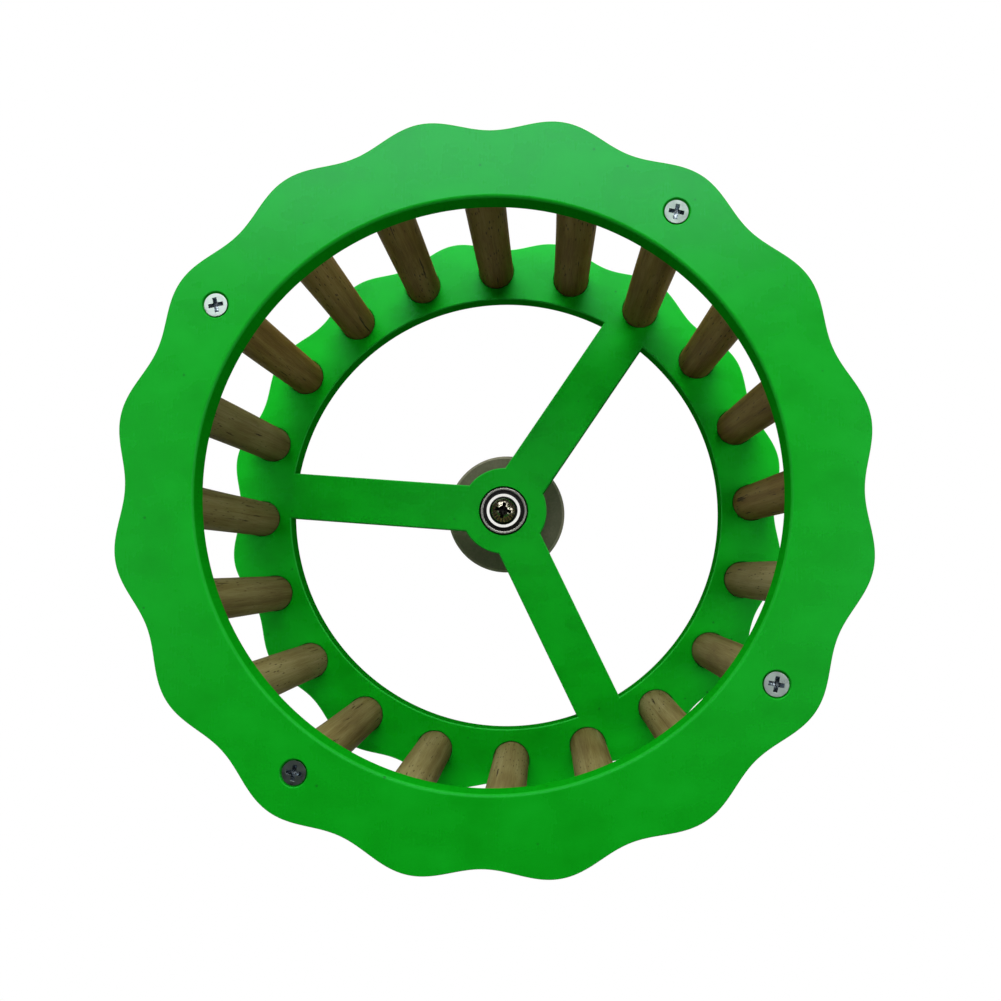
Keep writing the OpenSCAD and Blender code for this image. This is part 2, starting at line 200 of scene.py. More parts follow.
dowelWood = {
    "pale": ((0.1, "#584b26"), (0.4, "#70653a"), (0.62, "#7e7549"), (0.95, "#90885e")),
    "shadedTones": ((0.1, "#58441a"), (0.4, "#6f5a2a"), (0.62, "#7d6a37"), (0.95, "#8f7c4c")),
    "shadedArc": range(0, 150),  # degrees round the wheel, from +X towards the top, where the dowels are painted in shade
    "markTone": "#2c210c",
    "rings": (3.4, 120, 3.4),  # mm: distance between growth rings, stretched along the rod
    "fibre": (0.35, 16, 0.35),  # mm
    "fibreShare": 0.45,
    "patch": (24, 60, 24),  # mm
    "patchShare": 0.35,
    "toneRange": {1: 0.32, 2: 0.68},  # of the noise, spread over the tones
    "fleck": (1.1, 8, 1.1),  # mm
    "fleckEdge": {1: 0.1, 2: 0.24, 3: 1, 4: 0},
    "fleckPatches": {1: 0.46, 2: 0.56},
    "crack": (1.6, 34, 1.6),  # mm
    "crackEdge": {1: 0.65, 2: 0.69},
    "relief": 0.12 * mm,
    "roughness": 0.62,
}


def makeWood(name, tones):
    material, tree, shader = newMaterial(name, Roughness=dowelWood["roughness"], IOR=1.5,
                                         Specular_IOR_Level=0.02)
    rings = addNode(tree, "ShaderNodeTexNoise", {"Scale": 1, "Detail": 4, "Distortion": 0.6},
                    {"Vector": (stretched(tree, dowelWood["rings"]), 0)})
    fibre = addNode(tree, "ShaderNodeTexNoise", {"Scale": 1, "Detail": 4, "Roughness": 0.65},
                    {"Vector": (stretched(tree, dowelWood["fibre"]), 0)})
    patch = addNode(tree, "ShaderNodeTexNoise", {"Scale": 1, "Detail": 2},
                    {"Vector": (stretched(tree, dowelWood["patch"]), 0)})
    grain = addNode(tree, "ShaderNodeMix", {0: dowelWood["fibreShare"]}, {2: (rings, 0), 3: (fibre, 0)})
    mixed = addNode(tree, "ShaderNodeMix", {0: dowelWood["patchShare"]}, {2: (grain, 0), 3: (patch, 0)})
    spread = addNode(tree, "ShaderNodeMapRange", dowelWood["toneRange"], {0: (mixed, 0)})
    tone = addNode(tree, "ShaderNodeValToRGB", {}, {0: (spread, 0)})
    setStops(tone, tones)
    # flecks come in patches, cracks anywhere, and both are dark and sunk
    flecks = addNode(tree, "ShaderNodeTexVoronoi", {"Scale": 1},
                     {"Vector": (stretched(tree, dowelWood["fleck"]), 0)})
    fleckSpots = addNode(tree, "ShaderNodeMapRange", dowelWood["fleckEdge"], {0: (flecks, 0)})
    sparse = addNode(tree, "ShaderNodeMapRange", dowelWood["fleckPatches"], {0: (patch, 0)})
    fleckShare = addNode(tree, "ShaderNodeMath", {}, {0: (fleckSpots, 0), 1: (sparse, 0)},
                         operation="MULTIPLY")
    cracks = addNode(tree, "ShaderNodeTexNoise", {"Scale": 1, "Detail": 5, "Roughness": 0.55},
                     {"Vector": (stretched(tree, dowelWood["crack"]), 0)})
    crackLines = addNode(tree, "ShaderNodeMapRange", dowelWood["crackEdge"], {0: (cracks, 0)})
    dark = addNode(tree, "ShaderNodeMath", {}, {0: (fleckShare, 0), 1: (crackLines, 0)},
                   operation="MAXIMUM")
    colour = addNode(tree, "ShaderNodeMix", {7: linearColour(dowelWood["markTone"])},
                     {0: (dark, 0), 6: (tone, 0)}, data_type="RGBA")
    tree.links.new(colour.outputs[2], shader.inputs["Base Color"])
    sunk = addNode(tree, "ShaderNodeMath", {}, {0: (fibre, 0), 1: (dark, 0)}, operation="SUBTRACT")
    height = addNode(tree, "ShaderNodeBump", {"Strength": 0.7, "Distance": dowelWood["relief"]},
                     {"Height": (sunk, 0)})
    tree.links.new(height.outputs[0], shader.inputs["Normal"])
    return material


paleRod = makeWood("paleBirchRod", dowelWood["pale"])
shadedRod = makeWood("birchRodPaintedShade", dowelWood["shadedTones"])  # painted shade: the dowels over the top, seen from below in shade, get darker, browner tones


# Mount disc: medium density fibreboard, sanded and oiled, a taupe felt of short fibres

fibreboard = {
    "oiled": ((0.1, "#67664f"), (0.5, "#706f58"), (0.9, "#7b7963")),
    "highlit": ((0.1, "#85826c"), (0.5, "#908d77"), (0.9, "#9c9983")),
    "felt": (1.1, 1.1, 1.1),  # mm
    "cloud": (9, 9, 13),  # mm
    "cloudShare": 0.45,
    "toneRange": {1: 0.35, 2: 0.65},
    "relief": 0.06 * mm,
}


def makeFibreboard(name, tones):
    material, tree, shader = newMaterial(name, Roughness=0.55, IOR=1.5, Specular_IOR_Level=0.3)
    felt = addNode(tree, "ShaderNodeTexNoise", {"Scale": 1, "Detail": 6, "Roughness": 0.7},
                   {"Vector": (stretched(tree, fibreboard["felt"]), 0)})
    cloud = addNode(tree, "ShaderNodeTexNoise", {"Scale": 1, "Detail": 3},
                    {"Vector": (stretched(tree, fibreboard["cloud"]), 0)})
    both = addNode(tree, "ShaderNodeMix", {0: fibreboard["cloudShare"]}, {2: (felt, 0), 3: (cloud, 0)})
    spread = addNode(tree, "ShaderNodeMapRange", fibreboard["toneRange"], {0: (both, 0)})
    tone = addNode(tree, "ShaderNodeValToRGB", {}, {0: (spread, 0)})
    setStops(tone, tones)
    tree.links.new(tone.outputs[0], shader.inputs["Base Color"])
    height = addNode(tree, "ShaderNodeBump", {"Strength": 0.5, "Distance": fibreboard["relief"]},
                     {"Height": (felt, 0)})
    tree.links.new(height.outputs[0], shader.inputs["Normal"])
    return material


boardDisc = makeFibreboard("oiledFibreboard", fibreboard["oiled"])
boardEdgeHighlight = makeFibreboard("fibreboardEdgePaintedHighlight", fibreboard["highlit"])  # painted highlight: the chamfer is painted paler, for the light line along it


# Metals: what differs is the polish, the tool marks and how bright the plating is; the darker copies are
# painted shade

metal = {
    "cloudRange": (0.3, 0.75),
    "clearest": 0.7,  # times the roughness
    "dullest": 1.5,
}


def makeMetal(name, bright, dull, roughness, cloudSize, markWidth, markDepth, turned=False):
    # The cloud's and the marks' sizes are in millimetres. Turned metal has its marks in rings round
    # the axle line, other metal a random grain. Real marks are finer: these are wide enough to show.
    material, tree, shader = newMaterial(name, Metallic=1)
    cloud = addNode(tree, "ShaderNodeTexNoise", {"Scale": 1, "Detail": 4},
                    {"Vector": (stretched(tree, (cloudSize, cloudSize, cloudSize)), 0)})
    tint = addNode(tree, "ShaderNodeMix", {6: linearColour(bright), 7: linearColour(dull)},
                   {0: (cloud, 0)}, data_type="RGBA")
    tree.links.new(tint.outputs[2], shader.inputs["Base Color"])
    low, high = metal["cloudRange"]
    rough = addNode(tree, "ShaderNodeMapRange",
                    {1: low, 2: high, 3: roughness * metal["clearest"], 4: roughness * metal["dullest"]},
                    {0: (cloud, 0)})
    tree.links.new(rough.outputs[0], shader.inputs["Roughness"])
    where = stretched(tree, (markWidth, markWidth, markWidth))
    if turned:
        apart = addNode(tree, "ShaderNodeSeparateXYZ", {}, {0: (where, 0)})
        flat = addNode(tree, "ShaderNodeCombineXYZ", {}, {0: (apart, 0), 2: (apart, 2)})
        radius = addNode(tree, "ShaderNodeVectorMath", {}, {0: (flat, 0)}, operation="LENGTH")
        where = addNode(tree, "ShaderNodeCombineXYZ", {}, {0: (radius, 1), 1: (apart, 1)})
    lines = addNode(tree, "ShaderNodeTexNoise", {"Scale": 1, "Detail": 2}, {"Vector": (where, 0)})
    height = addNode(tree, "ShaderNodeBump", {"Strength": 0.6, "Distance": markDepth * mm},
                     {"Height": (lines, 0)})
    tree.links.new(height.outputs[0], shader.inputs["Normal"])
    return material


# Zinc plate is a cool, soft mirror. Two heads get a darker copy as painted shade, and the recesses a greyer
# one, painted shade with a little dirt
zincPlate = makeMetal("brightZincPlate", "#d2e2dc", "#b8cac2", 0.33, 3, 0.35, 0.012)
zincPaintedShade = makeMetal("zincPlatePaintedShade", "#8a9993", "#75837c", 0.33, 3, 0.35, 0.012)
recessZincShadeAndDirt = makeMetal("zincRecessShadeAndDirt", "#9aa6ad", "#6c7880", 0.24, 0.8, 0.4, 0.03)
# Cast zinc comes out of the tumbler satin and grainy
castZinc = makeMetal("tumbledCastZinc", "#c5c7c5", "#8f9390", 0.42, 2.5, 0.5, 0.05)
# Ground, turned and drawn metals draw their reflections out in rings
groundSteel = makeMetal("groundBearingSteel", "#bcbcb4", "#acaca4", 0.24, 14, 0.25, 0.006, turned=True)
washerSteel = makeMetal("turnedWasherSteel", "#f4f4f0", "#ecece6", 0.12, 14, 0.3, 0.002, turned=True)
springSteel = makeMetal("springSteel", "#8f9191", "#5f6162", 0.38, 1.5, 0.3, 0.02, turned=True)
drawnAluminium = makeMetal("drawnAluminiumTube", "#c9cbcc", "#a3a6a8", 0.36, 3, 0.3, 0.02, turned=True)
# Nickel plate is a warm, clear mirror
domeSteel = makeMetal("nickelPlatedSteel", "#d6d2c0", "#a8a48e", 0.17, 2.2, 0.5, 0.02, turned=True)
# Painted shade: steel in gaps, in hollows and round the head is painted almost black
steelPaintedShade = makeMetal("steelEdgePaintedShade", "#2e2d2a", "#1b1a19", 0.5, 0.8, 0.4, 0.02)


# Seal: moulded nitrile rubber, near black and matt, greyed by a little dust

rubber = {
    "tones": ((0.45, "#090909"), (0.85, "#22211f")),  # clean and dusty
    "dust": (1.2, 1.2, 1.2),  # mm
    "polish": {3: 0.5, 4: 0.75},
    "relief": 0.02 * mm,
}


def makeRubber():
    material, tree, shader = newMaterial("mouldedNitrileRubber", IOR=1.52, Specular_IOR_Level=0.3)
    dust = addNode(tree, "ShaderNodeTexNoise", {"Scale": 1, "Detail": 5, "Roughness": 0.7},
                   {"Vector": (stretched(tree, rubber["dust"]), 0)})
    tone = addNode(tree, "ShaderNodeValToRGB", {}, {0: (dust, 0)})
    setStops(tone, rubber["tones"])
    tree.links.new(tone.outputs[0], shader.inputs["Base Color"])
    rough = addNode(tree, "ShaderNodeMapRange", rubber["polish"], {0: (dust, 0)})
    tree.links.new(rough.outputs[0], shader.inputs["Roughness"])
    height = addNode(tree, "ShaderNodeBump", {"Strength": 0.4, "Distance": rubber["relief"]},
                     {"Height": (dust, 0)})
    tree.links.new(height.outputs[0], shader.inputs["Normal"])
    return material


sealRubber = makeRubber()
print("materials made")


# Modelling helpers. Everything is turned about the axle line, which is the Y axis.

def takeAll():
    bpy.ops.object.mode_set(mode="EDIT")
    bpy.ops.mesh.select_mode(type="VERT")
    bpy.ops.mesh.select_all(action="SELECT")


def selectEdges(piece, test):
    # leaves the piece in edit mode with only the edges picked whose two ends pass the test
    bpy.ops.object.mode_set(mode="EDIT")
    bpy.ops.mesh.select_mode(type="EDGE")
    bpy.ops.mesh.select_all(action="DESELECT")
    bpy.ops.object.mode_set(mode="OBJECT")
    for edge in piece.data.edges:
        edge.select = test(*(piece.data.vertices[i].co for i in edge.vertices))
    bpy.ops.object.mode_set(mode="EDIT")


def closeUp():
    # normals outwards, then back to object mode
    bpy.ops.mesh.select_all(action="SELECT")
    bpy.ops.mesh.normals_make_consistent(inside=False)
    bpy.ops.object.mode_set(mode="OBJECT")


def newCircle(name, sides, radius, y):
    bpy.ops.object.select_all(action="DESELECT")
    bpy.ops.mesh.primitive_circle_add(vertices=sides, radius=radius, location=(0, y, 0),
                                      rotation=(math.pi / 2, 0, 0))
    piece = bpy.context.object
    piece.name = piece.data.name = name
    bpy.ops.object.transform_apply(location=True, rotation=True, scale=True)
    return piece


def turnPiece(name, profile, sides, hollow=False):
    # extrudes a circle ring by ring through (radius, y) points, then caps it or joins its ends
    radius, y = profile[0]
    piece = newCircle(name, sides, radius, y)
    takeAll()
    for nextRadius, nextY in profile[1:]:
        share = nextRadius / radius
        bpy.ops.mesh.extrude_region_move(TRANSFORM_OT_translate={"value": (0, nextY - y, 0)})
        bpy.ops.transform.resize(value=(share, 1, share), center_override=(0, nextY, 0))
        radius, y = nextRadius, nextY
    bpy.ops.mesh.select_all(action="DESELECT")
    bpy.ops.mesh.select_non_manifold()
    if hollow:
        bpy.ops.mesh.bridge_edge_loops()
    else:
        bpy.ops.mesh.fill_holes(sides=0)
    closeUp()
    return piece


def applyModifier(piece, kind, **settings):
    modifier = piece.modifiers.new(kind.lower(), kind)
    for name, value in settings.items():
        setattr(modifier, name, value)
    bpy.context.view_layer.objects.active = piece
    bpy.ops.object.modifier_apply(modifier=modifier.name)


def combine(piece, tool, operation="DIFFERENCE"):
    applyModifier(piece, "BOOLEAN", operation=operation, solver="EXACT", object=tool)
    bpy.data.objects.remove(tool)


def copiesRound(piece, places):
    # the piece, made on the axle line, copied to each (x, z, turn) place and joined to one object
    mesh = piece.data.copy()
    made = []
    for x, z, turn in places:
        copy = bpy.data.objects.new(piece.name, mesh.copy())
        copy.data.transform(Matrix.Translation((x, 0, z)) @ Matrix.Rotation(-turn, 4, "Y"))
        bpy.context.scene.collection.objects.link(copy)
        made.append(copy)
    bpy.data.objects.remove(piece)
    bpy.ops.object.select_all(action="DESELECT")
    for copy in made:
        copy.select_set(True)
    bpy.context.view_layer.objects.active = made[0]
    bpy.ops.object.join()
    return made[0]


def soften(piece, width, segments=2, angle=35):
    # small rounds on the sharp edges only
    applyModifier(piece, "BEVEL", width=width, segments=segments, limit_method="ANGLE",
                  angle_limit=math.radians(angle), use_clamp_overlap=True)


def dress(piece, body, materials, replaced, angle=28):
    # shading, materials and what the piece stands for
    bpy.ops.object.select_all(action="DESELECT")
    piece.select_set(True)
    bpy.context.view_layer.objects.active = piece
    bpy.ops.object.shade_smooth_by_angle(angle=math.radians(angle))
    applyModifier(piece, "WEIGHTED_NORMAL", keep_sharp=True, weight=100)  # flat faces stay flat
    for material in materials:
        piece.data.materials.append(material)
    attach(piece, body)
    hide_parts(*replaced)


def paintWhere(piece, material, test):
    # gives the faces whose middle passes the test another material
    piece.data.materials.append(material)
    for face in piece.data.polygons:
        if test(face.center, face.normal):
            face.material_index = len(piece.data.materials) - 1


def facesAxle(place, normal):
    # true on the walls of a hole, whose faces look towards the axle line
    return Vector((place.x, 0, place.z)).dot(normal) < 0


def span(node):
    # the node's front and back along the axle
    low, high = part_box(node)
    return low.y, high.y


flatFace = 0.95  # a normal has more than this along the axle on a plate's flat faces
wallFace = 0.2  # and less than this on its edges


# Wheel plates

wheel = {
    "crest": 127.5 * mm,
    "waveDepth": 4.8 * mm,
    "waves": 16,
    "turn": math.radians(56),  # of the first crest and the first dowel
    "sides": 640,
    "hole": 99 * mm,
    "holeSides": 360,
    "corner": 0.48 * mm,  # scraped off the sheet's corners
    "holeRound": 1.3 * mm,  # of the front ring's hole
    "over": 2 * mm,  # how far a cutting tool stands out of a face
    "hub": 19.7 * mm,
    "hubSides": 144,
    "spoke": 21 * mm,
    "spokes": 3,
    "spokeCornerShare": 0.94,  # of the corner: a little less, so that no two tools' edges coincide
    "hubCornerShare": 0.9,
}
seat = {"radius": 11.02 * mm, "depth": 7.3 * mm, "lip": 1.8 * mm, "mouth": 0.35 * mm, "sides": 120}
pocket = {"radius": 8.2 * mm, "depth": 5 * mm, "mouth": 0.35 * mm, "sides": 72, "count": 20,
          "circle": 112.55 * mm}
screw = {
    "length": 25.4 * mm,
    "shank": 2.1 * mm,
    "head": 4 * mm,
    "sides": 56,
    "edge": 0.07 * mm,
    "rim": 0.3 * mm,
    "cone": 2.2 * mm,
    "sink": 0.4 * mm,  # below the sheet's face
    "fit": 0.55 * mm,  # wider than the screw all round
    "mouth": 0.25 * mm,
    "holeDepth": 7 * mm,  # well into the pockets
    "holeSides": 48,
    "point": 6 * mm,
    "tipShare": 0.12,  # of the shank
    "every": 5,  # one dowel in five
    "recess": (5.2 * mm, 1.4 * mm, 1.9 * mm),  # width, blade and depth
    "core": 0.42,  # of the recess's width
    "face": 0.1 * mm,  # what lies higher is the head's face
    "floor": (1.2 * mm, 2.3 * mm),  # the depths between which the recess's floor lies
    "floorFace": 0.5,  # least share of a floor's normal along the screw
    "frontTurns": (22, 46, 25, 23),  # degrees that each recess has come to stand at
    "rearTurns": (70, 12, 38, 55),
}
dowelNumbers = range(1, pocket["count"] + 1)
screwNumbers = dowelNumbers[::screw["every"]]


def dowelPlace(number, turn=0):
    angle = wheel["turn"] + (number - 1) * 2 * math.pi / pocket["count"]
    return pocket["circle"] * math.cos(angle), pocket["circle"] * math.sin(angle), angle + turn


def makeBlank(name, y0, y1):
    # a wavy plate with no holes, its outline scraped round at both faces
    blank = newCircle(name, wheel["sides"], wheel["crest"], y0)
    for vertex in blank.data.vertices:
        angle = math.atan2(vertex.co.z, vertex.co.x) - wheel["turn"]
        dip = wheel["waveDepth"] * (1 - math.cos(wheel["waves"] * angle)) / 2
        share = 1 - dip / wheel["crest"]
        vertex.co.x *= share
        vertex.co.z *= share
    takeAll()
    bpy.ops.mesh.edge_face_add()
    bpy.ops.mesh.extrude_region_move(TRANSFORM_OT_translate={"value": (0, y1 - y0, 0)})
    closeUp()
    soften(blank, wheel["corner"], angle=60)
    return blank


def roundOver(radius, face, inward):
    # profile points that open a hole's tool out to a face along a quarter round
    size = wheel["holeRound"]
    turns = [math.radians(a) for a in (0, 22, 45, 68, 90)]
    return [(radius + size * (1 - math.sin(a)), face + size * (1 - math.cos(a)) * inward) for a in turns]


def pocketTool(face, inward):
    # cuts the blind pockets, from a plate's inner face towards inward (1 or -1)
    over, mouth = wheel["over"] * inward, pocket["mouth"] * inward
    tool = turnPiece("tool", [(pocket["radius"] + pocket["mouth"] + wheel["over"], face - over),
                              (pocket["radius"], face + mouth),
                              (pocket["radius"], face + pocket["depth"] * inward)], pocket["sides"])
    return copiesRound(tool, [dowelPlace(n) for n in dowelNumbers])


def sinkTool(face, inward):
    # cuts the countersunk holes from a plate's outer face down to the pockets
    over = wheel["over"]
    wide, narrow = screw["head"] + screw["fit"], screw["shank"] + screw["fit"]
    rim = screw["sink"] + screw["rim"]
    steps = [(wide + screw["mouth"] + over, -over), (wide, screw["mouth"]), (wide, rim),
             (narrow, rim + screw["cone"]), (narrow, screw["holeDepth"])]
    tool = turnPiece("tool", [(r, face + d * inward) for r, d in steps], screw["holeSides"])
    return copiesRound(tool, [dowelPlace(n) for n in screwNumbers])


def paintPlate(plate, body, node, surface, corner):
    # face 0 is the sheet's surface, 1 its routed edges, 2 the scraped corners
    dress(plate, body, (surface, sheetCut, corner), (node,))
    for face in plate.data.polygons:
        facing = abs(face.normal.y)
        face.material_index = 0 if facing > flatFace else 1 if facing < wallFace else 2


def makeFrontRing():
    y0, y1 = span("front_ring")
    ring = makeBlank("frontRing", y0, y1)
    radius, over = wheel["hole"], wheel["over"]
    wide = radius + wheel["holeRound"]
    profile = ([(wide, y0 - over)] + roundOver(radius, y0, 1)
               + roundOver(radius, y1, -1)[::-1] + [(wide, y1 + over)])
    combine(ring, turnPiece("tool", profile, wheel["holeSides"]))
    combine(ring, pocketTool(y1, -1))
    combine(ring, sinkTool(y0, 1))
    paintPlate(ring, "wheel", "front_ring", sheetFace, sheetCorner)


def makeHoleTool(y0, y1):
    # the round of the rear plate's windows, with a small flare at both faces
    radius, flare, over = wheel["hole"], wheel["corner"], wheel["over"]
    return turnPiece("tool", [(radius + flare + over, y0 - over), (radius, y0 + flare),
                              (radius, y1 - flare), (radius + flare + over, y1 + over)],
                     wheel["holeSides"])


def makeSpokeTool(y0, y1):
    # three bars and a hub, kept narrower beyond the faces so that what they spare has scraped corners
    over, flare = wheel["over"], wheel["corner"] * wheel["spokeCornerShare"]
    deep = y1 - y0 + 2 * over
    bpy.ops.object.select_all(action="DESELECT")
    bpy.ops.mesh.primitive_cube_add(size=1, location=(0, (y0 + y1) / 2, 0))
    bar = bpy.context.object
    bar.scale = (wheel["hole"] + 4 * over, deep, wheel["spoke"])
    bar.location.x = bar.scale.x / 2
    bpy.ops.object.transform_apply(location=True, rotation=True, scale=True)
    selectEdges(bar, lambda a, b: abs(a.x - b.x) > over)  # the four long ones
    bpy.ops.mesh.bevel(offset=over + flare, segments=1, affect="EDGES")
    closeUp()
    step = 2 * math.pi / wheel["spokes"]
    spokes = [bar.data.copy() for _ in range(wheel["spokes"])]
    bpy.data.objects.remove(bar)
    radius, flare = wheel["hub"], wheel["corner"] * wheel["hubCornerShare"]
    hub = turnPiece("hub", [(radius - flare - over, y0 - over), (radius, y0 + flare),
                            (radius, y1 - flare), (radius - flare - over, y1 + over)],
                    wheel["hubSides"])
    for k, mesh in enumerate(spokes):
        mesh.transform(Matrix.Rotation(-wheel["turn"] - k * step, 4, "Y"))
        spoke = bpy.data.objects.new("spoke", mesh)
        bpy.context.scene.collection.objects.link(spoke)
        combine(hub, spoke, "UNION")
    return hub


def makeRearPlate():
    y0, y1 = span("rear_plate")
    plate = makeBlank("rearPlate", y0, y1)
    windows = makeHoleTool(y0, y1)
    combine(windows, makeSpokeTool(y0, y1))
    combine(plate, windows)
    corner, over = wheel["corner"], wheel["over"]
    radius, floor = seat["radius"], y0 + seat["depth"]
    through = radius - seat["lip"]
    combine(plate, turnPiece("tool", [(radius + seat["mouth"] + over, y0 - over),
                                      (radius, y0 + seat["mouth"]), (radius, floor),
                                      (through, floor), (through, y1 - corner),
                                      (through + corner + over, y1 + over)], seat["sides"]))
    combine(plate, pocketTool(y0, 1))
    combine(plate, sinkTool(y1, -1))
    # painted light: the face takes the brighter green, and the corners a paler tone that is partly a
    # painted highlight
    paintPlate(plate, "wheel", "rear_plate", rearFacePaintedLight, rearCornerWhitenedAndLit)
    # painted shade: the bearing seat's walls are painted almost black
    paintWhere(plate, sheetSeatShade, lambda place, normal: abs(normal.y) < flatFace
               and math.hypot(place.x, place.z) < radius + seat["mouth"])


makeFrontRing()
makeRearPlate()
print("plates made")


# Dowels: sanded by hand, so each is a hair out of round and straight

dowel = {
    "radius": 7.95 * mm,
    "chamfer": 0.8 * mm,
    "sides": 56,
    "rings": 12,
    "bow": 0.14 * mm,
    "oval": 0.05 * mm,
    "leanStep": 2.4,  # radians from dowel to dowel, which spreads the bends round the wheel
}


def makeDowel(number):
    node = "dowel_%02d" % number
    y0, y1 = span(node)
    radius, chamfer, rings = dowel["radius"], dowel["chamfer"], dowel["rings"]
    inner = [y0 + chamfer + k * (y1 - y0 - 2 * chamfer) / rings for k in range(rings + 1)]
    profile = [(radius - chamfer, y0)] + [(radius, y) for y in inner] + [(radius - chamfer, y1)]
    rod = turnPiece("dowel%02d" % number, profile, dowel["sides"])
    lean = number * dowel["leanStep"]
    for vertex in rod.data.vertices:
        along = math.sin(math.pi * (vertex.co.y - y0) / (y1 - y0)) ** 2
        angle = math.atan2(vertex.co.z, vertex.co.x)
        grow = 1 + along * dowel["oval"] / radius * math.cos(2 * angle + lean)
        vertex.co.x = vertex.co.x * grow + along * dowel["bow"] * math.cos(lean)
        vertex.co.z = vertex.co.z * grow + along * dowel["bow"] * math.sin(lean)
    x, z, turn = dowelPlace(number)
    rod.data.transform(Matrix.Translation((x, 0, z)) @ Matrix.Rotation(-turn, 4, "Y"))
    degrees = round(math.degrees(turn)) % 360
    # painted shade: the dowels in the arc over the top take the darker tones
    wood = shadedRod if degrees in dowelWood["shadedArc"] else paleRod
    dress(rod, "wheel", (wood,), (node,))


for number in dowelNumbers:
    makeDowel(number)
print("dowels made")


# Screws with cross recesses

recess = {
    "over": 1 * mm,  # how far its tool stands out of the head
    "taper": 0.5,  # how much narrower the cross is at its floor
    "bladeTaper": 0.3,
    "pointDepth": 0.2,  # of the core's radius, below the floor
    "pointShare": 0.1,
    "sides": 24,
}


def makeRecessTool(face, width, blade, depth, core, inward):
    # two tapered blades and a core, cut from face towards inward
    over, taper, corner = recess["over"], recess["taper"], core * width / 2
    tip = depth + corner * recess["pointDepth"]
    cross = turnPiece("tool", [(corner * (1 + over / depth * taper), face - over * inward),
                               (corner, face), (corner * (1 - taper), face + depth * inward),
                               (corner * recess["pointShare"], face + tip * inward)], recess["sides"])
    for quarter in (0, 1):
        bpy.ops.object.select_all(action="DESELECT")
        bpy.ops.mesh.primitive_cube_add(size=1, location=(0, face + (depth - over) / 2 * inward, 0))
        bar = bpy.context.object
        bar.scale = (width, depth + over, blade)
        bpy.ops.object.transform_apply(location=True, rotation=True, scale=True)
        for vertex in bar.data.vertices:
            deep = (vertex.co.y - face) * inward / depth
            vertex.co.x *= 1 - taper * deep
            vertex.co.z *= 1 - recess["bladeTaper"] * deep
        bar.data.transform(Matrix.Rotation(quarter * math.pi / 2, 4, "Y"))
        combine(cross, bar, "UNION")
    return cross


def makeWoodScrews(name, node, face, inward, turns):
    top = face + screw["sink"] * inward
    neck, point = screw["rim"] + screw["cone"], screw["length"] - screw["point"]
    steps = [(screw["head"], 0), (screw["head"], screw["rim"]), (screw["shank"], neck),
             (screw["shank"], point), (screw["shank"] * screw["tipShare"], screw["length"])]
    body = turnPiece(name, [(r, top + d * inward) for r, d in steps], screw["sides"])
    combine(body, makeRecessTool(top, *screw["recess"], screw["core"], inward))
    soften(body, screw["edge"], angle=30)
    body.data.materials.append(zincPlate)

    def shadedRecess(place, normal):
        # painted shade with a little dirt: the cross's walls, and its floor in the middle, are painted
        # greyer
        deep = (place.y - top) * inward
        low, high = screw["floor"]
        floor = low < deep < high and abs(normal.y) > screw["floorFace"]
        wall = deep > screw["face"] and facesAxle(place, normal)
        return wall or floor and place.xz.length < screw["recess"][1]

    paintWhere(body, recessZincShadeAndDirt, shadedRecess)
    places = [dowelPlace(n, math.radians(t) * inward) for n, t in zip(screwNumbers, turns)]
    screws = copiesRound(body, places)
    screws.name = screws.data.name = name
    # painted shade: the upper right and lower left heads are painted darker, for the dim things that they
    # mirror
    paintWhere(screws, zincPaintedShade, lambda place, normal: place.x * place.z > 0
               and (place.y - top) * inward < screw["face"])
    dress(screws, "wheel", (), (node,))


makeWoodScrews("frontScrews", "front_screws", span("front_ring")[0], 1, screw["frontTurns"])
makeWoodScrews("rearScrews", "rear_screws", span("rear_plate")[1], -1, screw["rearTurns"])
print("wood screws made")


# Axle screw: round head, plain neck and a real thread from the disc to its end

axle = {
    "radius": 3.175 * mm,
    "sides": 96,
    "head": 6.4 * mm,
    "headHeight": 4.4 * mm,
    "headRings": 14,
    "headEdge": 0.45 * mm,
    "side": 0.8 * mm,  # the straight part of the head's height
    "recess": (8.4 * mm, 1.7 * mm, 3.1 * mm),  # width, blade and depth
    "recessCore": 0.5,
    "recessSink": 0.3 * mm,  # its top below the dome's
    "recessTurn": math.radians(12),
    "shadedWall": 0.9 * mm,  # depths below the dome's top
    "shadedFloor": 2.5 * mm,
    "floor": 2.5 * mm,  # radius
    "rim": 5.3 * mm,  # radius
    "seatClear": 0.1 * mm,  # left unpainted just above the washer
    "pitch": 1.27 * mm,
    "root": 2.45 * mm,
    "crest": 3.15 * mm,
    "flank": (0.12, 0.44),  # where a flank rises, in shares of the pitch
    "turnSteps": 40,
    "threadFrom": -3 * mm,
    "chamfer": 0.8 * mm,
}


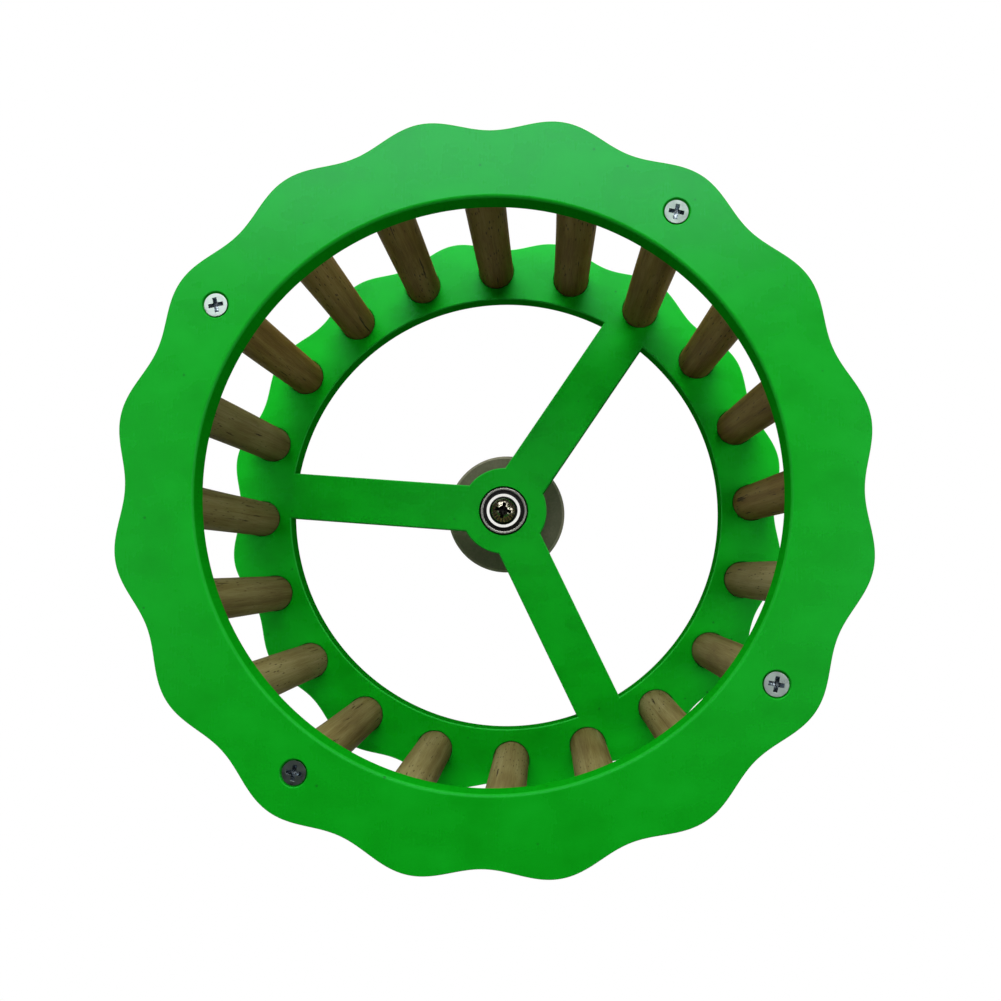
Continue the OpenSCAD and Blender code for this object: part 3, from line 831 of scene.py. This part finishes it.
def makeThread(start, end):
    # the outline of one turn, wound along the axle and cut to length
    pitch, root, crest = axle["pitch"], axle["root"], axle["crest"]
    low = start - 2.01 * pitch  # not whole turns, so that the cut meets no edge
    turns = round((end - start) / pitch) + 5  # both ends are cut off
    foot, top = axle["flank"]
    points = [(root, 0), (root, foot), (crest, top), (crest, 1 - top), (root, 1 - foot), (root, 1)]
    thread = newCircle("thread", len(points), root, low)
    for vertex, (radius, share) in zip(thread.data.vertices, points):
        vertex.co = (radius, low + share * pitch, 0)
    selectEdges(thread, lambda a, b: abs(a.y - b.y) > 0.9 * pitch)  # the one that closes the circle
    bpy.ops.mesh.delete(type="EDGE")
    bpy.ops.object.mode_set(mode="OBJECT")
    applyModifier(thread, "SCREW", axis="Y", angle=2 * math.pi, screw_offset=pitch,
                  iterations=turns, steps=axle["turnSteps"], render_steps=axle["turnSteps"])
    takeAll()
    bpy.ops.mesh.remove_doubles(threshold=0.001 * mm)
    bpy.ops.mesh.bisect(plane_co=(0, start, 0), plane_no=(0, 1, 0), use_fill=True, clear_inner=True,
                        threshold=0.0001 * mm)
    bpy.ops.mesh.select_all(action="SELECT")
    bpy.ops.mesh.bisect(plane_co=(0, end, 0), plane_no=(0, 1, 0), use_fill=True, clear_outer=True,
                        threshold=0.0001 * mm)
    closeUp()
    return thread


def makeAxleScrew():
    high = span("axle_screw")[1]
    seatY = span("head_washer")[0]
    low = seatY - axle["headHeight"]
    dome = axle["headHeight"] - axle["side"]
    ball = (axle["head"] ** 2 + dome ** 2) / (2 * dome)
    widest = math.asin(axle["head"] / ball)
    bends = [widest * k / axle["headRings"] for k in range(1, axle["headRings"] + 1)]
    arc = [(ball * math.sin(a), low + ball * (1 - math.cos(a))) for a in bends]
    neckEnd = axle["threadFrom"] + 1 * mm  # inside the thread's first turn
    profile = arc + [(axle["head"], seatY), (axle["radius"], seatY), (axle["radius"], neckEnd)]
    body = turnPiece("axleScrew", profile, axle["sides"])
    tool = makeRecessTool(low + axle["recessSink"], *axle["recess"], axle["recessCore"], 1)
    tool.data.transform(Matrix.Rotation(axle["recessTurn"], 4, "Y"))
    combine(body, tool)
    soften(body, axle["headEdge"], segments=3, angle=40)
    body.data.materials.append(domeSteel)

    def paintedShadeInHead(place, normal):
        # painted shade: the recess's walls, its floor and the rim of the head are painted almost black
        deep, left, away = place.y - low, seatY - place.y, place.xz.length
        wall = deep > axle["shadedWall"] and facesAxle(place, normal)
        floor = deep > axle["shadedFloor"] and away < axle["floor"]
        return left > axle["seatClear"] and (wall or floor or away > axle["rim"])

    paintWhere(body, steelPaintedShade, paintedShadeInHead)
    thread = makeThread(axle["threadFrom"], high)
    wide, end = axle["crest"] + 0.5 * mm, high - axle["chamfer"] - 0.5 * mm
    envelope = turnPiece("tool", [(wide, axle["threadFrom"] - 1 * mm), (wide, end),
                                  (axle["crest"] - axle["chamfer"], high)], axle["turnSteps"])
    combine(thread, envelope, "INTERSECT")
    combine(body, thread, "UNION")
    dress(body, "axle", (), ("axle_screw",), angle=40)


makeAxleScrew()
print("axle screw made")


# Rings and tubes between their nodes' own two ends: node, body, slot and material,
# then inner radius, outer radius and edge round in millimetres

rings = {
    "headWasher": ("head_washer", "axle", "washer_steel", washerSteel, 3.525, 7.95, 0.25),
    "axleSpacer": ("axle_spacer", "axle", "spacer_aluminium", drawnAluminium, 3.225, 4.75, 0.25),
    "clampWasher": ("clamp_washer", "clamp", "washer_steel", zincPlate, 3.255, 19, 0.35),
    "mountDisc": ("mount_disc", "axle", "disc_wood", boardDisc, 3.225, 28.5, 0.15),
}
ringSides = 160
discChamfer = 1.2 * mm
discSlant = 0.3  # least share of its chamfer's normal along the axle
washerShadeRadius = 6.5 * mm  # radius within which the washer is painted dark, as painted shade round the head


def makeRing(name, node, body, slot, material, inner, outer, edge):
    y0, y1 = span(node)
    inner, outer, edge = inner * mm, outer * mm, edge * mm
    profile = [(inner, y0), (outer, y0), (outer, y1), (inner, y1)]
    if name == "mountDisc":
        profile[1:3] = [(outer - discChamfer, y0), (outer, y0 + discChamfer),
                        (outer, y1 - discChamfer), (outer - discChamfer, y1)]
    if name == "headWasher":
        profile[1:1] = [(washerShadeRadius, y0)]
    ring = turnPiece(name, profile, ringSides, hollow=True)
    soften(ring, edge)
    ring.data.materials.append(material)
    if name == "headWasher":  # painted shade: its middle round the head and its rim are painted dark
        paintWhere(ring, steelPaintedShade, lambda place, normal: place.xz.length < washerShadeRadius
                   or place.xz.length > outer - edge)
    if name == "mountDisc":
        # painted highlight: the chamfer faces are painted paler
        paintWhere(ring, boardEdgeHighlight, lambda place, normal: discSlant < abs(normal.y) < flatFace)
    dress(ring, body, (), (node,), angle=15)


for name, facts in rings.items():
    makeRing(name, *facts)
print("rings made")


# Bearing: the outer ring and both seals show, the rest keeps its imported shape

bearing = {
    "land": 8.95 * mm,
    "bore": 11 * mm,  # the hub's, which is the ring's own outer radius
    "sides": 128,
    "chamfer": 0.45 * mm,
    "groove": 2 * mm,  # half the width of the balls' track
    "grooveDepth": 0.53 * mm,
    "grooveRound": 0.85,  # of its width
    "lipSeat": 9.55 * mm,
    "ringEdge": 0.06 * mm,
    "sealDepth": 1 * mm,
    "sealInner": 6.11 * mm,
    "sealOuter": 9.53 * mm,
    "sealSink": 0.3 * mm,
    "sealEdge": 0.08 * mm,
    "bead": 0.45 * mm,
    "beadHeight": 0.2 * mm,
    "beadSlope": 0.25 * mm,
}


def makeOuterRing():
    y0, y1 = span("bearing_outer_race")
    b = bearing
    middle, groove, bend = (y0 + y1) / 2, b["groove"], b["groove"] * b["grooveRound"]
    arc = [(b["land"] + b["grooveDepth"] * math.cos(a), middle + bend * math.sin(a))
           for a in (math.radians(d) for d in (-80, -50, -25, 0, 25, 50, 80))]
    profile = ([(b["land"], middle - groove)] + arc + [(b["land"], middle + groove)]
               + [(b["land"], y1 - b["sealDepth"]), (b["lipSeat"], y1 - b["sealDepth"]), (b["lipSeat"], y1),
                  (b["bore"] - b["chamfer"], y1), (b["bore"], y1 - b["chamfer"]),
                  (b["bore"], y0 + b["chamfer"]), (b["bore"] - b["chamfer"], y0), (b["lipSeat"], y0),
                  (b["lipSeat"], y0 + b["sealDepth"]), (b["land"], y0 + b["sealDepth"])])
    race = turnPiece("bearingOuterRing", profile, b["sides"], hollow=True)
    soften(race, b["ringEdge"], angle=40)
    race.data.materials.append(groundSteel)
    # painted shade: the race's outer chamfer is painted almost black, for the shaded gap to its seat
    paintWhere(race, steelPaintedShade, lambda place, normal: place.xz.length > b["bore"] - b["chamfer"])
    dress(race, "wheel", (), ("bearing_outer_race",))


def makeSeal(name, node, face, inward):
    # a flat ring with a bead along both its edges
    b = bearing
    top, low = face + b["sealSink"] * inward, face + b["sealDepth"] * inward
    floor = top + b["beadHeight"] * inward
    inner, outer = b["sealInner"], b["sealOuter"]
    profile = [(inner, low), (outer, low), (outer, top), (outer - b["bead"], top),
               (outer - b["bead"] - b["beadSlope"], floor), (inner + b["bead"] + b["beadSlope"], floor),
               (inner + b["bead"], top), (inner, top)]
    seal = turnPiece(name, profile, b["sides"], hollow=True)
    soften(seal, b["sealEdge"], angle=30)
    dress(seal, "wheel", (sealRubber,), (node,))


makeOuterRing()
makeSeal("frontSeal", "bearing_front_seal", span("bearing_outer_race")[0], 1)
makeSeal("rearSeal", "bearing_rear_seal", span("bearing_outer_race")[1], -1)
for node, material in (("bearing_inner_race", groundSteel), ("bearing_balls", groundSteel),
                       ("bearing_cage", springSteel)):
    nodes[node].data.materials.clear()
    nodes[node].data.materials.append(material)
print("bearing made")


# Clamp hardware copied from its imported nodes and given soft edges

lockWasher = {"flat": math.radians(1), "edge": 0.12 * mm}
wingNut = {"voxel": 0.3 * mm, "smoothing": 0.5, "passes": 7}


def copyNode(name, node):
    source = nodes[node]
    copy = bpy.data.objects.new(name, source.data.copy())
    copy.data.name = name
    copy.data.materials.clear()
    bpy.context.scene.collection.objects.link(copy)
    bpy.ops.object.select_all(action="DESELECT")
    copy.select_set(True)
    bpy.context.view_layer.objects.active = copy
    takeAll()
    bpy.ops.mesh.remove_doubles(threshold=0.002 * mm)
    closeUp()
    return copy


def makeLockWasher():
    washer = copyNode("lockWasher", "lock_washer")
    takeAll()
    bpy.ops.mesh.dissolve_limited(angle_limit=lockWasher["flat"])
    closeUp()
    soften(washer, lockWasher["edge"])
    dress(washer, "clamp", (springSteel,), ("lock_washer",))


def makeWingNut():
    # cast and tumbled, so its wings flow into the body
    nut = copyNode("wingNut", "wing_nut")
    nut.data.remesh_voxel_size = wingNut["voxel"]
    bpy.ops.object.voxel_remesh()
    applyModifier(nut, "SMOOTH", factor=wingNut["smoothing"], iterations=wingNut["passes"])
    dress(nut, "wing_nut", (castZinc,), ("wing_nut",), angle=60)


makeLockWasher()
makeWingNut()
print("clamp made")


# Studio, in metres and watts: a soft light high in front, one at each side, one over the wheel and
# two from behind, a white backdrop and a pale floor. Mirrors see only the key and the right light.
# Cards that only mirrors see stand for the dim room in front and the pale boards round the camera.

studio = {
    "target": Vector((0, -0.09, 0)),
    "floor": -0.42,
    "floorSize": 12,
    "floorLit": "#777777",  # as the light that it throws back sees it
    "floorSeen": "#f1f1ef",
    "fade": {1: 0.1, 2: 0.35},  # from the middle
}
lights = {
    "key": {"place": (-0.1, -0.82, 0.69), "size": (1.05, 0.7), "power": 10.2, "mirrored": True},
    "right": {"place": (1.0, -0.95, 0.1), "size": (0.8, 0.8), "power": 7.2, "mirrored": True},
    "left": {"place": (-1.0, -0.95, 0.1), "size": (0.8, 0.8), "power": 4.4, "mirrored": False},
    "over": {"place": (0.0, -0.35, 0.75), "size": (0.5, 0.4), "power": 4.6, "mirrored": False},
    "back": {"place": (-0.4, 1.3, 0.4), "size": (0.9, 0.9), "power": 3.0, "mirrored": False},
    "backLow": {"place": (0.0, 1.2, -0.2), "size": (0.6, 0.4), "power": 5.1, "mirrored": False},
}
cards = {
    "frontWall": {"kind": "upright", "place": (0, -2.4, 0), "size": (5.6, 5.6, 1), "strength": 0.04},
    "sideWalls": {"kind": "round", "place": (0, -1.15, 0), "size": (2.4, 2.4, 2.5), "strength": 0.03},
    "cloth": {"kind": "flat", "place": (0, -1.2, -0.415), "size": (4.6, 2.4, 1), "strength": 0.02},
    "greyBoard": {"kind": "upright", "place": (0.7, -2.3, -0.24), "size": (0.8, 0.34, 1), "strength": 0.6},
    "rightBoard": {"kind": "upright", "place": (1.5, -2.3, 0.1), "size": (1.2, 1.1, 1), "strength": 0.65},
    "leftBoard": {"kind": "upright", "place": (-1.5, -2.3, 0.1), "size": (1.2, 1.1, 1), "strength": 0.55},
    "paleBoard": {"kind": "upright", "place": (-0.1, -2.25, 0.16), "size": (0.6, 0.4, 1), "strength": 1.0},
}
white = (1, 1, 1, 1)


def addLight(name, spec):
    data = bpy.data.lights.new(name, "AREA")
    data.shape = "RECTANGLE"
    data.size, data.size_y = spec["size"]
    data.energy = spec["power"]
    lamp = bpy.data.objects.new(name, data)
    lamp.location = spec["place"]
    lamp.rotation_mode = "QUATERNION"
    lamp.rotation_quaternion = (studio["target"] - lamp.location).to_track_quat("-Z", "Y")
    lamp.visible_camera = False
    lamp.visible_glossy = spec["mirrored"]
    bpy.context.scene.collection.objects.link(lamp)


def addCard(name, spec):
    bpy.ops.object.select_all(action="DESELECT")
    tilt = (0, 0, 0) if spec["kind"] == "flat" else (math.pi / 2, 0, 0)
    if spec["kind"] == "round":
        bpy.ops.mesh.primitive_cylinder_add(vertices=64, radius=1, depth=1, end_fill_type="NOTHING",
                                            location=spec["place"], rotation=tilt)
    else:
        bpy.ops.mesh.primitive_plane_add(size=1, location=spec["place"], rotation=tilt)
    card = bpy.context.object
    card.name = name
    card.scale = spec["size"]
    for kind in ("camera", "diffuse", "transmission", "volume_scatter", "shadow"):
        setattr(card, "visible_" + kind, False)
    material = bpy.data.materials.new(name + "Card")
    material.use_nodes = True
    tree = material.node_tree
    tree.nodes.clear()
    glow = addNode(tree, "ShaderNodeEmission", {"Color": white, "Strength": spec["strength"]})
    addNode(tree, "ShaderNodeOutputMaterial", {}, {"Surface": (glow, 0)})
    card.data.materials.append(material)


def seenDirectly(tree):
    # 1 for what the camera, a mirror or glass sees, 0 for the light that falls on matt surfaces
    path = addNode(tree, "ShaderNodeLightPath")
    shiny = addNode(tree, "ShaderNodeMath", {}, {0: (path, "Is Camera Ray"), 1: (path, "Is Glossy Ray")},
                    operation="MAXIMUM")
    return addNode(tree, "ShaderNodeMath", {}, {0: (shiny, 0), 1: (path, "Is Transmission Ray")},
                   operation="MAXIMUM")


def makeWorld():
    # a white backdrop that throws no light of its own
    world = bpy.data.worlds.new("studio")
    bpy.context.scene.world = world
    world.use_nodes = True
    tree = world.node_tree
    tree.nodes.clear()
    seen = seenDirectly(tree)
    sky = addNode(tree, "ShaderNodeBackground", {"Color": white}, {"Strength": (seen, 0)})
    addNode(tree, "ShaderNodeOutputWorld", {}, {"Surface": (sky, 0)})


def makeFloor():
    # a pale floor that fades to the white backdrop, and throws little light up on the object
    bpy.ops.object.select_all(action="DESELECT")
    bpy.ops.mesh.primitive_plane_add(size=studio["floorSize"], location=(0, 0, studio["floor"]))
    floor = bpy.context.object
    floor.name = "floor"
    material, tree, shader = newMaterial("paleFloorPaint", Roughness=0.9, Specular_IOR_Level=0.1)
    where = addNode(tree, "ShaderNodeTexCoord")
    away = addNode(tree, "ShaderNodeVectorMath", {}, {0: (where, "Object")}, operation="LENGTH")
    faded = addNode(tree, "ShaderNodeMapRange", studio["fade"], {0: (away, 1)})
    seen = seenDirectly(tree)
    tones = {6: linearColour(studio["floorLit"]), 7: linearColour(studio["floorSeen"])}
    paint = addNode(tree, "ShaderNodeMix", tones, {0: (seen, 0)}, data_type="RGBA")
    tree.links.new(paint.outputs[2], shader.inputs["Base Color"])
    glow = addNode(tree, "ShaderNodeEmission", {"Color": white}, {"Strength": (seen, 0)})
    share = addNode(tree, "ShaderNodeMath", {}, {0: (faded, 0), 1: (seen, 0)}, operation="MULTIPLY")
    mixed = addNode(tree, "ShaderNodeMixShader", {}, {0: (share, 0), 1: (shader, 0), 2: (glow, 0)})
    tree.links.new(mixed.outputs[0], tree.nodes["Material Output"].inputs["Surface"])
    floor.data.materials.append(material)


for name, spec in lights.items():
    addLight(name, spec)
for name, spec in cards.items():
    addCard(name, spec)
makeWorld()
makeFloor()
print("studio lit")
